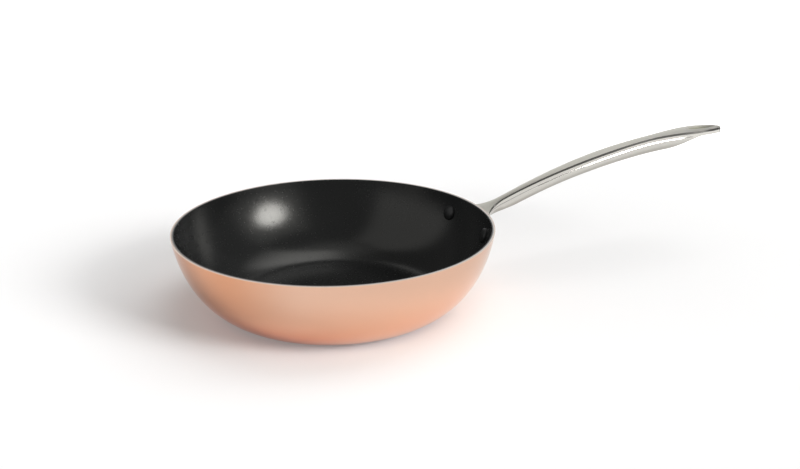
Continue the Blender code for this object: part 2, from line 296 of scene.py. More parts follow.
def end_finish(flow, constants, links):
    """The Principled shader, with what is the same all over set on its own sockets."""
    shader = flow.node("ShaderNodeBsdfPrincipled", None, {**constants, **links})
    flow.node("ShaderNodeOutputMaterial", None, {"Surface": shader})


RIM_EDGE = math.radians(30)
BOWL_LAYER = shell_tree()


def add_layer(name, node, slot, outer_depth, inner_depth, finish):
    """One layer of the bowl, as a piece of its own."""
    values = {
        "Rim Radius": RIM_RADIUS,
        "Base Radius": BASE_RADIUS,
        "Height": BOWL_HEIGHT,
        "Sweep": WALL_SWEEP,
        "Outer Depth": outer_depth,
        "Inner Depth": inner_depth,
        "Wall Steps": WALL_STEPS,
        "Around Steps": AROUND_STEPS,
        "Finish": finish,
    }
    mesh = grown(name, bpy.data.meshes.new(name + " seed"), BOWL_LAYER, values)
    close_up(mesh, RIM_EDGE)
    seat(name, mesh, slot, node)


COPPER = (0.90, 0.52, 0.35, 1)
COPPER_PALE_REFLECTION = (0.75, 0.50, 0.375, 1)
COPPER_SHADED_SIDE = (0.66, 0.31, 0.17, 1)
COPPER_FOOT_SHADE = (0.38, 0.08, 0.015, 1)
COPPER_SHADE = (0.66, 0.19, 0.08, 1)
COPPER_WORN = (0.70, 0.58, 0.51, 1)
PALE_REFLECTION_HEIGHTS = (0.012, 0.055)
PALE_REFLECTION_SHARE = 0.8
SHADED_SIDE_PLACES = (-0.055, -0.105)
SHADED_SIDE_SHARE = 0.85
SHADE_HEIGHTS = (0.0045, 0.030)
SHADE_PLACES = (0.0, -0.06)
SHADE_SHARE = 0.9
FOOT_SHADE_HEIGHTS = (0.0045, 0.0075)
RIM_WEAR = 0.0003
SPUN_LINES = 1500.0
SPUN_DRIFT = 12.0
SPUN_TINT = 0.08
COPPER_CLOUDS = 16.0
PALE_CLOUDINESS = 0.3
SHADED_SIDE_CLOUDINESS = 0.4
COPPER_ROUGHNESS = 0.10
SPUN_ROUGHNESS = 0.04
COPPER_CLOUD_ROUGHNESS = 0.05
COPPER_BUMP = 0.02


def copper_finish():
    finish, flow, place = new_finish("satin copper")
    across = flow.vector("MULTIPLY", place, (1, 1, 0))
    radius = flow.vector("LENGTH", across, output="Value")
    height, along = place.part("Z"), place.part("X")
    rings = {"X": radius * SPUN_LINES, "Y": height * SPUN_LINES, "Z": along * SPUN_DRIFT}
    lines = flow.node("ShaderNodeCombineXYZ", None, rings).noise(1.0, FINE_DETAIL)
    cloud = place.noise(COPPER_CLOUDS)
    # Painted reflection: the copper paler higher up, mottled by its own clouding and spun lines.
    pale_reflection_and_grain = height.ramp(*PALE_REFLECTION_HEIGHTS) * PALE_REFLECTION_SHARE
    pale_reflection_and_grain = pale_reflection_and_grain + (cloud - 0.5) * PALE_CLOUDINESS + (lines - 0.5) * SPUN_TINT
    # Painted shade: the copper deeper and darker on the side away from the handle, mottled by its
    # clouding.
    shaded_side = along.ramp(*SHADED_SIDE_PLACES) * (SHADED_SIDE_SHARE + (cloud - 0.5) * SHADED_SIDE_CLOUDINESS)
    # Painted shade and reflection: redder and darker low down on that same side.
    shade = (1 - height.ramp(*SHADE_HEIGHTS)) * along.ramp(*SHADE_PLACES) * SHADE_SHARE
    # Painted contact shade: dark red-brown at the foot and all over the underside.
    foot_shade = 1 - height.ramp(*FOOT_SHADE_HEIGHTS)
    worn = height.ramp(BOWL_HEIGHT - RIM_WEAR, BOWL_HEIGHT - RIM_WEAR / 3)
    tone = flow.blend(pale_reflection_and_grain, COPPER, COPPER_PALE_REFLECTION)
    tone = flow.blend(shaded_side, tone, COPPER_SHADED_SIDE)
    tone = flow.blend(shade, tone, COPPER_SHADE)
    tone = flow.blend(foot_shade, tone, COPPER_FOOT_SHADE)
    colour = flow.blend(worn, tone, COPPER_WORN)
    rough = COPPER_ROUGHNESS + lines * SPUN_ROUGHNESS + cloud * COPPER_CLOUD_ROUGHNESS
    links = {"Base Color": colour, "Roughness": rough, "Normal": lines.bump(COPPER_BUMP)}
    end_finish(flow, {"Metallic": 1.0}, links)
    return finish


add_layer("copper_outside", "copper_skin", "copper", 0, COPPER_BACK, copper_finish())

# Aluminium core
#
# The thick middle layer of aluminium, pressed between the other two, that carries the
# heat. Only its ground edge shows, as the silver band round the rim.

CORE_BACK = 0.0015
CORE_SILVER = (0.52, 0.495, 0.47, 1)
CORE_DULL_AND_SHADE = (0.27, 0.20, 0.16, 1)
CORE_SHADE_PLACES = (0.02, -0.06)
CORE_SHADE_SHARE = 0.7
CORE_GRIT = 900.0
GRIT_TINT = 0.2
GRIT_ROUGHNESS = 0.15
CORE_CLOUDS = 30.0
CORE_CLOUDINESS = 0.3
CORE_ROUGHNESS = 0.3
CORE_BUMP = 0.2


def core_finish():
    finish, flow, place = new_finish("ground aluminium")
    grit = place.noise(CORE_GRIT, FINE_DETAIL)
    cloud = place.noise(CORE_CLOUDS)
    # Painted shade: the band duller on the side away from the handle, flecked by the aluminium's
    # own grit and clouding.
    shade_and_grit = place.part("X").ramp(*CORE_SHADE_PLACES) * CORE_SHADE_SHARE
    shade_and_grit = shade_and_grit + grit * GRIT_TINT + (cloud - 0.5) * CORE_CLOUDINESS
    links = {
        "Base Color": flow.blend(shade_and_grit, CORE_SILVER, CORE_DULL_AND_SHADE),
        "Roughness": CORE_ROUGHNESS + grit * GRIT_ROUGHNESS,
        "Normal": grit.bump(CORE_BUMP),
    }
    end_finish(flow, {"Metallic": 1.0}, links)
    return finish


add_layer("core_band", "aluminium_core", "core", COPPER_BACK, CORE_BACK, core_finish())

# Black lining
#
# The cooking surface: a thin steel sheet with a sprayed and baked non-stick coating, satin
# black and very slightly pebbled, so that a highlight breaks up into grains at its edge.

LINER_FACE = 0.0023
LINER_BLACK = (0.0070, 0.0073, 0.0073, 1)
LINER_GREY = (0.012, 0.0126, 0.0126, 1)
LINER_SHEEN = (1.0, 0.985, 0.93, 1)
LINER_PEBBLE = 1100.0
LINER_SPECKS = 420.0
LINER_CLOUDS = 14.0
SPECK_LEVELS = (0.60, 0.70)
SPECK_RISE = 0.15
SPECK_ROUGHNESS = 0.08
LINER_CLOUD_ROUGHNESS = 0.05
LINER_ROUGHNESS = 0.18
LINER_BUMP = 0.3
COATING_IOR = 1.5


def liner_finish():
    finish, flow, place = new_finish("black non-stick coating")
    pebble = place.noise(LINER_PEBBLE)
    specks = place.noise(LINER_SPECKS).ramp(*SPECK_LEVELS)
    cloud = place.noise(LINER_CLOUDS)
    links = {
        "Base Color": flow.blend(cloud, LINER_BLACK, LINER_GREY),
        "Roughness": LINER_ROUGHNESS + cloud * LINER_CLOUD_ROUGHNESS + specks * SPECK_ROUGHNESS,
        "Normal": (pebble + specks * SPECK_RISE).bump(LINER_BUMP),
    }
    end_finish(flow, {"IOR": COATING_IOR, "Specular Tint": LINER_SHEEN}, links)
    return finish


add_layer("black_lining", "nonstick_liner", "coating", CORE_BACK, LINER_FACE, liner_finish())

# Handle
#
# One casting in stainless steel, riveted to the bowl by a flange that hugs its wall: a slim
# neck, a long grip with a top brushed across and a polished, rounded belly, and a thin end
# with an oval eye to hang it by.

FLANGE_SEAM = 0.0003
FLANGE_THICKNESS = 0.0026
FLANGE_DROP = 0.0045
FLANGE_ROOT_WIDTH = 0.048
RIVET_SPACING = 0.0615
RIVET_DROP = 0.015
EAR_RADIUS = 0.0085
EAR_POINTS = 24
ROOT_SLOPE = math.radians(23.4)
ROOT_ARM = 0.110
TIP_SLOPE = math.radians(-4)
TIP_ARM = 0.042
TIP_RISE = 0.0417
NECK_RUN = 0.0225
GRIP_AT = NECK_RUN + 0.093
WAIST_AT = GRIP_AT + 0.0405
EYE_AT = WAIST_AT + 0.0495
TIP_RUN = 0.0274
REACH = EYE_AT + TIP_RUN
NECK_WIDTH = 0.0074
EYE_WIDTH = 0.0207
WIDTH_STOPS = [
    (NECK_RUN, NECK_WIDTH),
    (GRIP_AT, 0.01275),
    (WAIST_AT, 0.0121),
    (EYE_AT, EYE_WIDTH),
]
TIP_SQUARENESS = 2.05
ROOT_FILLET = 0.010
BELLY_AT = NECK_RUN + 0.0135
LEAN_AT = BELLY_AT + 0.033
HEEL_AT = LEAN_AT + 0.108
SLAB_AT = HEEL_AT + 0.033
DEPTH_STOPS = [
    (NECK_RUN - ROOT_FILLET, 0.0095),
    (BELLY_AT, 0.0117),
    (LEAN_AT, 0.01145),
    (HEEL_AT, 0.0129),
    (SLAB_AT, 0.0042),
]
SQUARE_STOPS = [(HEEL_AT, 2.4), (SLAB_AT, 6.0)]
RIDGE_STOPS = [(NECK_RUN, 1), (GRIP_AT, 0)]
FLARE_STOPS = [(BELLY_AT, 0), (LEAN_AT, 1), (HEEL_AT, 1), (SLAB_AT, 0)]
CROWN_RISE = 0.00085
EDGE_RUN = 0.0016
EDGE_SHARE = 0.6
BEVEL_SLOPE = 1.2
SIDE_LEAN = 0.00002
STRIP_DEPTH = 0.0034
RIDGE_STEP = 0.0004
LIP_FLARE = 0.00034
LIP_DEPTH = 0.0008
WEB_EDGE = 0.0012
WEB_SIDE_POWER = 1.6
WEB_DEEP_POWER = 3.0
BROAD_SHARE = 1 / 4
FINE_SHARE = 1 / 16
CROWN_POINTS = 10
BEVEL_POINTS = 4
SIDE_POINTS = 8
LIP_POINTS = 6
GROOVE_POINTS = 2
BELLY_POINTS = 30
ROOT_STEP = 0.0008
GRIP_STEP = 0.0022
HANDLE_EDGE = math.radians(25)
TIP_STATIONS = 30
TIP_CAP = 0.00002
BISECTIONS = 40
EYE_LENGTH = 0.0291
EYE_HALF_WIDTH = 0.0041
EYE_TAPER = 0.19
EYE_END_WALL = 0.0052
EYE_POINTS = 96
EYE_TOOL_REACH = 0.02
WALL_ACROSS = (RIM_RADIUS - BASE_RADIUS) / math.sin(WALL_SWEEP)
WALL_UP = BOWL_HEIGHT / (1 - math.cos(WALL_SWEEP))


def wall_angle(drop):
    """Angle along the wall's ellipse at this distance below the rim."""
    return math.acos(1 - (BOWL_HEIGHT - drop) / WALL_UP)


def wall_point(angle, depth):
    """(radius, height) at this depth into the wall; a negative depth lies outside it."""
    inward = Vector((-WALL_UP * math.sin(angle), WALL_ACROSS * math.cos(angle))).normalized()
    across = BASE_RADIUS + WALL_ACROSS * math.sin(angle)
    return Vector((across, WALL_UP * (1 - math.cos(angle)))) + depth * inward


FLANGE_FACE = wall_point(wall_angle(FLANGE_DROP), -(FLANGE_SEAM + FLANGE_THICKNESS))[0]
ROOT_RUN = FLANGE_FACE - RIM_RADIUS


def ease(run, stops):
    """Value at this run between (run, value) stops, level at each of them."""
    for (start, low), (end, high) in zip(stops, stops[1:]):
        if run < end:
            share = max(0, (run - start) / (end - start))
            return low + (high - low) * share * share * (3 - 2 * share)
    return stops[-1][1]


def half_width(run):
    """Half the width at this run: the rounded end, the grip, or the fillets of the neck."""
    if run >= EYE_AT:
        share = min(1, (run - EYE_AT) / TIP_RUN)
        return EYE_WIDTH / 2 * (1 - share**TIP_SQUARENESS) ** (1 / TIP_SQUARENESS)
    if run >= NECK_RUN:
        return ease(run, WIDTH_STOPS) / 2
    along, side = RIM_RADIUS + NECK_RUN, NECK_WIDTH / 2
    radius = (along**2 + side**2 - FLANGE_FACE**2) / (2 * (FLANGE_FACE - side))
    back = min(NECK_RUN - run, radius)
    return min(side + radius - math.sqrt(radius**2 - back**2), FLANGE_ROOT_WIDTH / 2)


def bezier(points, share):
    """Place on the curve of four points at this share of its way."""
    rest = 1 - share
    weights = (rest**3, 3 * rest**2 * share, 3 * rest * share**2, share**3)
    return sum((w * Vector(p) for w, p in zip(weights, points)), Vector((0, 0)))


def top_edge(run):
    """Height of the handle's top edges above the rim."""
    root, tip = Vector((ROOT_RUN, -FLANGE_DROP)), Vector((REACH, TIP_RISE))
    leaving = ROOT_ARM * Vector((math.cos(ROOT_SLOPE), math.sin(ROOT_SLOPE)))
    arriving = TIP_ARM * Vector((math.cos(TIP_SLOPE), math.sin(TIP_SLOPE)))
    points = (root, root + leaving, tip - arriving, tip)
    low, high = 0.0, 1.0
    for _ in range(BISECTIONS):
        middle = (low + high) / 2
        if bezier(points, middle)[0] < run:
            low = middle
        else:
            high = middle
    return bezier(points, low)[1]


def handle_ring(run):
    """Points round the handle at one run, with their shares of groove, top and underside."""
    half = half_width(run)
    back = min(max(0, ROOT_RUN + ROOT_FILLET - run), ROOT_FILLET)
    depth = ease(run, DEPTH_STOPS) + ROOT_FILLET - math.sqrt(ROOT_FILLET**2 - back**2)
    web = min(1, max(0, (NECK_RUN - run) / (NECK_RUN - ROOT_RUN)))
    strip = min(depth / 2, STRIP_DEPTH + (WEB_EDGE - STRIP_DEPTH) * web)
    ridge = ease(run, RIDGE_STOPS)
    broad, fine = half * BROAD_SHARE, half * FINE_SHARE
    crown = min(CROWN_RISE, broad)
    flat = half - min(EDGE_RUN, broad, strip * EDGE_SHARE)
    step = min(RIDGE_STEP * ridge, fine)
    flare = min(LIP_FLARE, fine) * ease(run, FLARE_STOPS)
    brink = half - flare * (1 - ridge)
    near = []
    for i in range(CROWN_POINTS + 1):
        across = flat * i / CROWN_POINTS
        near.append((across, crown * (1 - (across / half) ** 2), (0, 1, 0)))
    # Bevel and side strip, down to the groove
    brow = near[-1][1]
    bevel = brink - min(SIDE_LEAN, fine) - flat
    for i in range(1, BEVEL_POINTS + 1):
        out = bevel * i / BEVEL_POINTS
        near.append((flat + out, brow - BEVEL_SLOPE * out, (0, 0, 0)))
    out, shoulder = near[-1][:2]
    for i in range(1, SIDE_POINTS + 1):
        share = i / SIDE_POINTS
        across = out + (brink - out) * share**2
        near.append((across, shoulder - (shoulder + strip) * share, (0, 0, 0)))
    # Lip under the groove, and belly
    lip = min(LIP_DEPTH, strip / 2)
    for i in range(LIP_POINTS):
        share = i / LIP_POINTS
        across = half - step - flare * (1 - share)
        # Marks where the groove's painted shade goes.
        groove = ridge if i < GROOVE_POINTS else 0
        near.append((across, -strip - step - lip * share, (groove, 0, 0)))
    belly = strip + step + lip
    square = 2 / ease(run, SQUARE_STOPS)
    side_power = square + (WEB_SIDE_POWER - square) * web
    deep_power = square + (WEB_DEEP_POWER - square) * web
    for i in range(BELLY_POINTS + 1):
        share = i / BELLY_POINTS
        angle = math.pi / 2 * share
        across = (half - step) * math.cos(angle) ** side_power if i < BELLY_POINTS else 0
        below = (depth - belly) * math.sin(angle) ** deep_power
        near.append((across, -belly - below, (0, 0, share)))
    ring = near + [(-across, *rest) for across, *rest in near[-2:0:-1]]
    x, z = RIM_RADIUS + run, BOWL_HEIGHT + top_edge(run)
    return [((x, across, z + height), marks) for across, height, marks in ring]


def mesh_of(shape, name):
    """Turns a shape into a mesh, outwards all round and without doubles."""
    bmesh.ops.remove_doubles(shape, verts=shape.verts, dist=WELD)
    bmesh.ops.recalc_face_normals(shape, faces=shape.faces)
    mesh = bpy.data.meshes.new(name)
    shape.to_mesh(mesh)
    shape.free()
    return mesh


def handle_loft():
    """Skins the rings one after the other and closes both ends."""
    runs = []
    run = -(ROOT_FILLET + FLANGE_THICKNESS)
    while run < NECK_RUN:
        runs.append(run)
        run += ROOT_STEP
    count = math.ceil((EYE_AT - NECK_RUN) / GRIP_STEP)
    runs += [NECK_RUN + (EYE_AT - NECK_RUN) * i / count for i in range(count)]
    for i in range(TIP_STATIONS + 1):
        runs.append(EYE_AT + (TIP_RUN - TIP_CAP) * math.sin(math.pi / 2 * i / TIP_STATIONS))
    shape = bmesh.new()
    layers = [shape.verts.layers.float.new(name) for name in ("groove", "top", "under")]
    rings = []
    for run in runs:
        ring = []
        for point, marks in handle_ring(run):
            vertex = shape.verts.new(point)
            for layer, mark in zip(layers, marks):
                vertex[layer] = mark
            ring.append(vertex)
        rings.append(ring)
    count = len(rings[0])
    for first, second in zip(rings, rings[1:]):
        for i in range(count):
            j = (i + 1) % count
            shape.faces.new((first[i], first[j], second[j], second[i]))
    shape.faces.new(rings[0])
    shape.faces.new(rings[-1])
    return mesh_of(shape, "handle casting")


def turned_tool(name, profile):
    """A closed (radius, height) profile turned once round the bowl's axis."""
    shape = bmesh.new()
    rows = []
    for i in range(AROUND_STEPS):
        angle = 2 * math.pi * i / AROUND_STEPS
        row = [
            shape.verts.new((radius * math.cos(angle), radius * math.sin(angle), height))
            for radius, height in profile
        ]
        rows.append(row)
    for i, row in enumerate(rows):
        following = rows[(i + 1) % AROUND_STEPS]
        for j in range(len(profile)):
            k = (j + 1) % len(profile)
            shape.faces.new((row[j], following[j], following[k], row[k]))
    return add_object(name, mesh_of(shape, name))


def prism_tool(name, outline, place, low, high):
    """A flat outline, raised from one level to the other of its own frame."""
    shape = bmesh.new()
    bottom = [shape.verts.new((x, y, low)) for x, y in outline]
    top = [shape.verts.new((x, y, high)) for x, y in outline]
    shape.faces.new(bottom)
    shape.faces.new(top)
    for i in range(len(outline)):
        j = (i + 1) % len(outline)
        shape.faces.new((bottom[i], bottom[j], top[j], top[i]))
    shape.transform(place)
    return add_object(name, mesh_of(shape, name))


def wall_run(depth, low, high):
    """Points along the wall at this depth, from one angle to the other."""
    return [wall_point(low + (high - low) * i / WALL_STEPS, depth) for i in range(WALL_STEPS + 1)]


def flange_tool():
    """A band that hugs the wall, cut to an ear round each rivet and a plate between."""
    low, high = wall_angle(RIVET_DROP + 2 * EAR_RADIUS), wall_angle(FLANGE_DROP / 2)
    outer = wall_run(-(FLANGE_SEAM + FLANGE_THICKNESS), low, high)
    inner = wall_run(FLANGE_SEAM, low, high)
    band = turned_tool("flange band", inner + outer[::-1])
    ear = (RIVET_SPACING / 2, BOWL_HEIGHT - RIVET_DROP)
    corner = (FLANGE_ROOT_WIDTH / 2, BOWL_HEIGHT - FLANGE_DROP)
    across, up = corner[0] - ear[0], corner[1] - ear[1]
    meet = math.atan2(up, across) - math.acos(min(1, EAR_RADIUS / math.hypot(across, up)))
    half = [corner]
    for i in range(EAR_POINTS):
        angle = meet + (-math.pi / 2 - meet) * i / (EAR_POINTS - 1)
        half.append((ear[0] + EAR_RADIUS * math.cos(angle), ear[1] + EAR_RADIUS * math.sin(angle)))
    outline = half + [(-across, up) for across, up in half[::-1]]
    # Turns the outline's own X and Y to the pan's Y and Z
    upright = Matrix(((0, 0, 1, 0), (1, 0, 0, 0), (0, 1, 0, 0), (0, 0, 0, 1)))
    plate = prism_tool("flange outline", outline, upright, BASE_RADIUS, 2 * RIM_RADIUS)
    return band, plate


def envelope_tool():
    """Everything that the bowl fills or encloses."""
    wall = wall_run(-FLANGE_SEAM, 0, WALL_SWEEP)
    above = BOWL_HEIGHT + ROOT_FILLET
    profile = [(0, above), (wall[-1][0], above)] + wall[::-1] + [(0, -FLANGE_SEAM)]
    return turned_tool("bowl envelope", profile)


def eye_tool():
    """The hanging eye: an oval whose wider end is towards the pan."""
    outline = []
    for i in range(EYE_POINTS):
        angle = 2 * math.pi * i / EYE_POINTS
        back = EYE_END_WALL + EYE_LENGTH * (1 + math.cos(angle)) / 2
        fullness = math.sin(angle) * (1 + EYE_TAPER * math.cos(angle))
        outline.append((RIM_RADIUS + REACH - back, EYE_HALF_WIDTH * fullness))
    level = BOWL_HEIGHT + TIP_RISE
    low, high = level - EYE_TOOL_REACH, level + EYE_TOOL_REACH
    return prism_tool("eye", outline, Matrix.Identity(4), low, high)


def cut_and_join(target, steps):
    """The mesh that a shape's boolean steps leave. The shapes themselves are taken away."""
    for operation, other in steps:
        modifier = target.modifiers.new(operation.lower(), "BOOLEAN")
        modifier.operation = operation
        modifier.object = other
    graph = bpy.context.evaluated_depsgraph_get()
    mesh = bpy.data.meshes.new_from_object(target.evaluated_get(graph))
    for item in [target] + [other for _, other in steps]:
        bpy.data.objects.remove(item)
    return mesh


STEEL = (0.74, 0.72, 0.68, 1)
STEEL_WARM = (0.58, 0.56, 0.51, 1)
STEEL_SATIN = (0.63, 0.615, 0.555, 1)
STEEL_TIP_LIGHT = (0.80, 0.785, 0.72, 1)
STEEL_UNDER_SHADE = (0.40, 0.38, 0.34, 1)
STEEL_EYE_SHADE = (0.44, 0.44, 0.34, 1)
STEEL_SHADE_DARK = (0.04, 0.037, 0.03, 1)
BRUSH_TURN = 0.9
BRUSH_FINENESS = (90, 1400, 300)
BRUSH_TINT = 0.6
POLISH_FINENESS = (40, 900, 900)
POLISH_TINT = 0.3
POLISH_GRAIN = 0.15
STEEL_CLOUDS = 40.0
STEEL_CLOUDINESS = 0.4
TOP_LEVELS = (0.6, 1.0)
UNDER_SHADE_LEVELS = (0.1, 0.5)
UNDER_SHADE_SHARE = 0.8
TIP_LIGHT_PLACES = (0.22, 0.32)
POLISHED_ROUGHNESS = 0.13
POLISH_ROUGHNESS = 0.05
BRUSHED_ROUGHNESS = 0.36
BRUSH_ROUGHNESS = 0.12
STEEL_BUMP = 0.10
EYE_MARGIN = 0.0005
EYE_MIDDLE = RIM_RADIUS + REACH - EYE_END_WALL - EYE_LENGTH / 2
EYE_START = EYE_MIDDLE - EYE_LENGTH / 2 - EYE_MARGIN
EYE_LEVEL = BOWL_HEIGHT + top_edge(EYE_START - RIM_RADIUS)
EYE_FALL = (BOWL_HEIGHT + TIP_RISE - EYE_LEVEL) / (RIM_RADIUS + REACH - EYE_START)
EYE_SIDE = 0.0055
EYE_DEPTHS = (0.0001, 0.0006)
EYE_END_SHADE_PLACES = (EYE_LENGTH * 0.22, EYE_LENGTH * 0.40)


def steel_finish():
    """Brushed across on top, polished lengthwise below, with painted shade in the groove, under
    the belly and in the eye, darkest at its ends, and painted light on the top near the tip.
    """
    finish, flow, place = new_finish("cast steel, brushed on top")
    along, side = place.part("X"), flow.math("ABSOLUTE", place.part("Y"))
    turned = {"Vector": place, "Rotation": (0, 0, BRUSH_TURN), "Scale": BRUSH_FINENESS}
    brushing = flow.node("ShaderNodeMapping", None, turned).noise(1.0, FINE_DETAIL)
    drawn = {"Vector": place, "Scale": POLISH_FINENESS}
    polishing = flow.node("ShaderNodeMapping", None, drawn).noise(1.0)
    cloud = place.noise(STEEL_CLOUDS)
    groove, top, under = (
        flow.node("ShaderNodeAttribute", {"attribute_name": name}, None, "Fac")
        for name in ("groove", "top", "under")
    )
    by_eye = (along > EYE_START) * (side < EYE_SIDE)
    top = flow.math("MAXIMUM", top.ramp(*TOP_LEVELS), by_eye)
    tint = polishing * POLISH_TINT + cloud * STEEL_CLOUDINESS
    polished = flow.blend(tint, STEEL, STEEL_WARM)
    # Painted shade: the polished belly darker towards its underside.
    polished = flow.blend(under.ramp(*UNDER_SHADE_LEVELS) * UNDER_SHADE_SHARE, polished, STEEL_UNDER_SHADE)
    # Painted light: the brushed top lighter towards the tip.
    satin = flow.blend(along.ramp(*TIP_LIGHT_PLACES), STEEL_SATIN, STEEL_TIP_LIGHT)
    brushed = flow.blend(brushing * BRUSH_TINT, satin, STEEL_WARM)
    # Painted shade inside the eye: its wall olive grey, going dark towards both ends.
    level = EYE_LEVEL + (along - EYE_START) * EYE_FALL
    in_eye = by_eye * (level - place.part("Z")).ramp(*EYE_DEPTHS)
    off_middle = flow.math("ABSOLUTE", along - EYE_MIDDLE)
    eye_wall_shade = flow.blend(off_middle.ramp(*EYE_END_SHADE_PLACES), STEEL_EYE_SHADE, STEEL_SHADE_DARK)
    brushed = flow.blend(in_eye, brushed, eye_wall_shade)
    smooth = POLISHED_ROUGHNESS + polishing * POLISH_ROUGHNESS
    rough = BRUSHED_ROUGHNESS + brushing * BRUSH_ROUGHNESS
    grain = top * brushing + (1 - top) * polishing * POLISH_GRAIN
    links = {
        # Painted shade: dark in the groove under the side strip.
        "Base Color": flow.blend(groove, flow.blend(top, polished, brushed), STEEL_SHADE_DARK),
        "Roughness": (1 - top) * smooth + top * rough,
        "Normal": grain.bump(STEEL_BUMP),
    }
    end_finish(flow, {"Metallic": 1.0}, links)
    return finish


band, plate = flange_tool()
flange = add_object("flange", cut_and_join(band, [("INTERSECT", plate)]))
casting = add_object("casting", handle_loft())
steps = [("UNION", flange), ("DIFFERENCE", envelope_tool()), ("DIFFERENCE", eye_tool())]
handle_mesh = cut_and_join(casting, steps)
close_up(handle_mesh, HANDLE_EDGE)
handle_mesh.materials.clear()
handle_mesh.materials.append(steel_finish())
seat("cast_handle", handle_mesh, "handle_steel", "handle")

# Rivets
#
# Two solid steel rivets, each with a low domed head inside the bowl, coated black with the
# lining, and a bare tail hammered down over the flange outside.

SHANK_RADIUS = 0.0025
HEAD_RADIUS = 0.006
HEAD_RISE = 0.0024
TAIL_RADIUS = 0.0045
TAIL_RISE = 0.0016
RIVET_EDGE = 0.0004
RIVET_STEPS = 64
DOME_STEPS = 14
RIVET_CREASE = math.radians(40)
RIVET_PLAY = 0.0003
HEAD_SKIRT = 0.0004
HEAD_SEAT = LINER_FACE + RIVET_PLAY
TAIL_SEAT = -(FLANGE_SEAM + FLANGE_THICKNESS)
RIVET_ANGLE = wall_angle(RIVET_DROP)
RIVET_POINT = wall_point(RIVET_ANGLE, 0)
RIVET_PEBBLE = 900.0
RIVET_ROUGHNESS = 0.28
PEBBLE_ROUGHNESS = 0.12
RIVET_BUMP = 0.2


def dome(radius, rise, base, direction):
    """Points from a disc's rounded edge to the pole of its dome."""
    points = []
    for i in range(DOME_STEPS + 1):
        angle = math.pi / 2 * i / DOME_STEPS
        height = RIVET_EDGE + (rise - RIVET_EDGE) * math.sin(angle)
        points.append((radius * math.cos(angle), base + direction * height))
    return points


def rivet_mesh():
    """One rivet on the XZ plane, its head's points marked as coated."""
    under_head = HEAD_SEAT - HEAD_SKIRT
    head = dome(HEAD_RADIUS, HEAD_RISE, HEAD_SEAT, 1)[::-1]
    head += [(HEAD_RADIUS, under_head), (SHANK_RADIUS, under_head)]
    tail = [(SHANK_RADIUS, TAIL_SEAT), (TAIL_RADIUS, TAIL_SEAT)]
    tail += dome(TAIL_RADIUS, TAIL_RISE, TAIL_SEAT, -1)
    profile = [(point, 1) for point in head] + [(point, 0) for point in tail]
    shape = bmesh.new()
    coated = shape.verts.layers.float.new("coated")
    rows = []
    for i in range(RIVET_STEPS):
        angle = 2 * math.pi * i / RIVET_STEPS
        row = []
        for (radius, height), coat in profile:
            vertex = shape.verts.new((radius * math.cos(angle), radius * math.sin(angle), height))
            vertex[coated] = coat
            row.append(vertex)
        rows.append(row)
    for i, row in enumerate(rows):
        following = rows[(i + 1) % RIVET_STEPS]
        for j in range(len(profile) - 1):
            shape.faces.new((row[j], following[j], following[j + 1], row[j + 1]))
    inward = wall_point(RIVET_ANGLE, 1) - RIVET_POINT
    tilt = Matrix.Rotation(math.atan2(inward[0], inward[1]), 4, "Y")
    shape.transform(Matrix.Translation((RIVET_POINT[0], 0, RIVET_POINT[1])) @ tilt)
    return mesh_of(shape, "rivet")


def rivet_tree():
    """Copies one rivet to both sides of the handle, turned about the bowl's axis."""
    inputs = [("Count", "Int"), ("Turn", "Float"), ("Finish", "Material")]
    tree, size = new_tree("pair of rivets", inputs)
    points = size["Turn"].node("GeometryNodePoints", None, {"Count": size["Count"]})
    number = points.node("GeometryNodeInputIndex")
    turn = points.node("ShaderNodeCombineXYZ", None, {"Z": (number * 2.0 - 1.0) * size["Turn"]})
    placed = points.node(
        "GeometryNodeInstanceOnPoints",
        None,
        {"Points": points, "Instance": size["Geometry"], "Rotation": turn},
    )
    end_tree(tree, placed, size["Finish"])
    return tree


def rivet_finish():
    finish, flow, place = new_finish("rivet steel, coated head")
    pebble = place.noise(RIVET_PEBBLE)
    coated = flow.node("ShaderNodeAttribute", {"attribute_name": "coated"}, None, "Fac")
    bare = flow.blend(pebble, STEEL, STEEL_WARM)
    links = {
        "Base Color": flow.blend(coated, bare, LINER_BLACK),
        "Roughness": RIVET_ROUGHNESS + pebble * PEBBLE_ROUGHNESS,
        "Metallic": 1 - coated,
        "Normal": pebble.bump(RIVET_BUMP),
    }
    end_finish(flow, {"IOR": COATING_IOR}, links)
    return finish


rivet_turn = math.asin(RIVET_SPACING / 2 / RIVET_POINT[0])
values = {"Count": 2, "Turn": rivet_turn, "Finish": rivet_finish()}
rivets = grown("rivets", rivet_mesh(), rivet_tree(), values)
close_up(rivets, RIVET_CREASE)
seat("rivet_pair", rivets, "rivet", "left_rivet", "right_rivet")

# Studio
#
# A white table and four soft lamps: a small strong one on the right, which throws the shadow
# to the left, one just above it, a large one overhead, and a low one on the left. Only shiny
# metal sees the patches of light ahead, overhead and at the sides.

FLOOR_HALF = 6.0
FLOOR_WHITE = (0.86, 0.86, 0.86, 1)
FLOOR_WARM = (0.84, 0.835, 0.83, 1)
FLOOR_CLOUDS = 5.0
FLOOR_ROUGHNESS = 0.2
FLOOR_CLOUD_ROUGHNESS = 0.1
FLOOR_LIFT = 0.10
FLOOR_SHINE = 0.15
FLOOR_AWAY = (0.4, 0.8)
LAMP_REACH = 8.0


def heading_vector(bearing, height):
    """Direction at this bearing, clockwise from the camera's, and this height in degrees."""
    turn = HEADING + math.radians(bearing)
    rise = math.radians(height)
    flat = math.cos(rise)
    return Vector((flat * math.sin(turn), flat * math.cos(turn), math.sin(rise)))


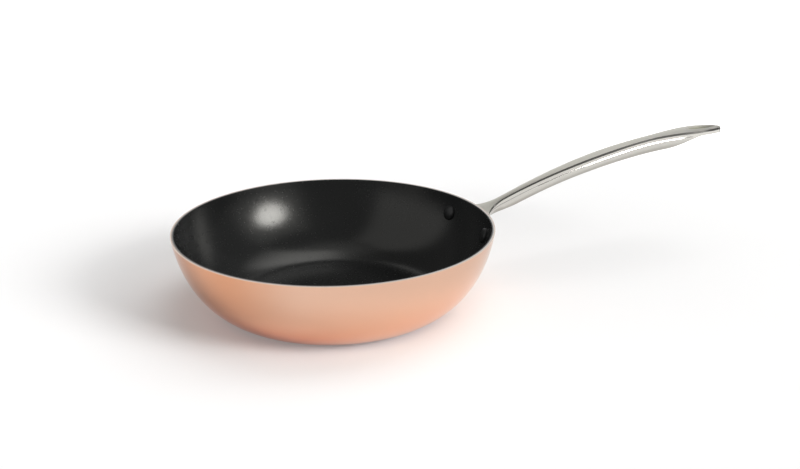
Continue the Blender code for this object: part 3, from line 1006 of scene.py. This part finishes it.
def add_lamp(name, bearing, height, half_wide, half_tall, radiance, *, oval=False, shown=False):
    """A soft lamp that faces the pan, sized by the half angles that it spans from there."""
    lamp = bpy.data.lights.new(name, "AREA")
    lamp.shape = "ELLIPSE" if oval else "RECTANGLE"
    lamp.size = 2 * LAMP_REACH * math.tan(math.radians(half_wide))
    lamp.size_y = 2 * LAMP_REACH * math.tan(math.radians(half_tall))
    area = lamp.size * lamp.size_y * (math.pi / 4 if oval else 1)
    lamp.energy = radiance * math.pi * area
    holder = add_object(name, lamp)
    direction = heading_vector(bearing, height)
    holder.location = direction * LAMP_REACH
    holder.rotation_euler = direction.to_track_quat("Z", "Y").to_euler()
    holder.visible_glossy = shown


def seen_light(flow):
    """1 for rays from the camera, from a mirror-like surface or through glass, else 0."""
    rays = ("Is Camera Ray", "Is Glossy Ray", "Is Transmission Ray")
    seen = [flow.node("ShaderNodeLightPath", None, None, ray) for ray in rays]
    return flow.math("MINIMUM", seen[0] + seen[1] + seen[2], 1.0)


def floor_finish():
    """White, with a lift for the camera that fades the table out into the background."""
    finish, flow, place = new_finish("white table")
    cloud = place.noise(FLOOR_CLOUDS)
    away = flow.vector("LENGTH", place, output="Value").ramp(*FLOOR_AWAY)
    camera_ray = flow.node("ShaderNodeLightPath", None, None, "Is Camera Ray")
    far = FLOOR_SHINE + (1 - FLOOR_SHINE) * camera_ray
    lift = (FLOOR_LIFT + (1 - FLOOR_LIFT) * away * far) * seen_light(flow)
    links = {
        "Color": flow.blend(cloud, FLOOR_WHITE, FLOOR_WARM),
        "Roughness": FLOOR_ROUGHNESS + cloud * FLOOR_CLOUD_ROUGHNESS,
    }
    table = flow.node("ShaderNodeBsdfDiffuse", None, links)
    glow = flow.node("ShaderNodeEmission", None, {"Color": (1, 1, 1, 1), "Strength": lift})
    both = flow.node("ShaderNodeAddShader", None, {0: table, 1: glow})
    flow.node("ShaderNodeOutputMaterial", None, {"Surface": both})
    return finish


def floor_piece():
    shape = bmesh.new()
    bmesh.ops.create_grid(shape, x_segments=1, y_segments=1, size=FLOOR_HALF)
    mesh = bpy.data.meshes.new("table")
    shape.to_mesh(mesh)
    shape.free()
    mesh.materials.append(floor_finish())
    add_object("table", mesh)


floor_piece()
# Each lamp's bearing and height, half its angles across and up, all in degrees, and radiance
add_lamp("lamp right", 121, 23.5, 12, 10, radiance=15, oval=True, shown=True)
add_lamp("lamp right, upper", 119, 33, 15, 10, radiance=4.5)
add_lamp("lamp above", 57, 65, 19, 28, radiance=1.95)
add_lamp("lamp left", -127, 10, 31, 12, radiance=4.6)

# Patches of light: bearings from and to, heights from and to, half the width of their soft
# edges, all in degrees, and their strength
PATCHES = {
    "sweep": (-26, 14, -20, 52, 6.0, 1.0),
    "low sweep": (-26, 34, -20, 20, 8.0, 1.0),
    "streak": (54, 56, 5, 40, 2.0, 0.42),
    "window": (-150, -80, 5, 72, 8.0, 0.62),
    "halo": (90, 150, 0, 50, 8.0, 0.5),
}
# The panel overhead: how far ahead and aside its edges lie for each metre up
PANEL_BACK = (-0.02, 0.14)
PANEL_FRONT = (0.55, 0.95)
PANEL_LEFT = (-0.14, 0.06)
PANEL_RIGHT = (0.2, 1.0)
PANEL_LIGHT = 1.9
ZENITH_HEIGHTS = (60.0, 85.0)
ZENITH_LIGHT = 0.5
HORIZON = 1.0
AMBIENT = 0.25
CEILING = 0.12

world = bpy.data.worlds.new("studio")
bpy.context.scene.world = world
world.use_nodes = True
world.node_tree.nodes.clear()
flow = Flow(world.node_tree)
toward = flow.node("ShaderNodeTexCoord", None, None, "Generated")
ahead = flow.vector("DOT_PRODUCT", toward, tuple(heading_vector(0, 0)), output="Value")
aside = flow.vector("DOT_PRODUCT", toward, tuple(heading_vector(90, 0)), output="Value")
bearing = flow.math("ARCTAN2", aside, ahead) * math.degrees(1)
height = flow.math("ARCSINE", toward.part("Z")) * math.degrees(1)


def between(value, low, high, soft):
    """1 where the value lies between these two, falling to 0 over the soft edges."""
    return value.ramp(low - soft, low + soft) * (1 - value.ramp(high - soft, high + soft))


over_ahead, over_aside = ahead / toward.part("Z"), aside / toward.part("Z")
panel = over_ahead.ramp(*PANEL_BACK) * (1 - over_ahead.ramp(*PANEL_FRONT))
panel = panel * over_aside.ramp(*PANEL_LEFT) * (1 - over_aside.ramp(*PANEL_RIGHT))
around = panel * (height > HORIZON) * PANEL_LIGHT
for left, right, low, high, soft, light in PATCHES.values():
    patch = between(bearing, left, right, soft) * between(height, low, high, soft)
    around = flow.math("MAXIMUM", around, patch * light)
around = flow.math("MAXIMUM", around, height.ramp(*ZENITH_HEIGHTS) * ZENITH_LIGHT)
camera_ray = flow.node("ShaderNodeLightPath", None, None, "Is Camera Ray")
white = flow.math("MAXIMUM", around * (1 - camera_ray) + camera_ray, CEILING)
seen = seen_light(flow)
strength = seen * white + (1 - seen) * AMBIENT
glow = flow.node("ShaderNodeBackground", None, {"Color": (1, 1, 1, 1), "Strength": strength})
flow.node("ShaderNodeOutputWorld", None, {"Surface": glow})
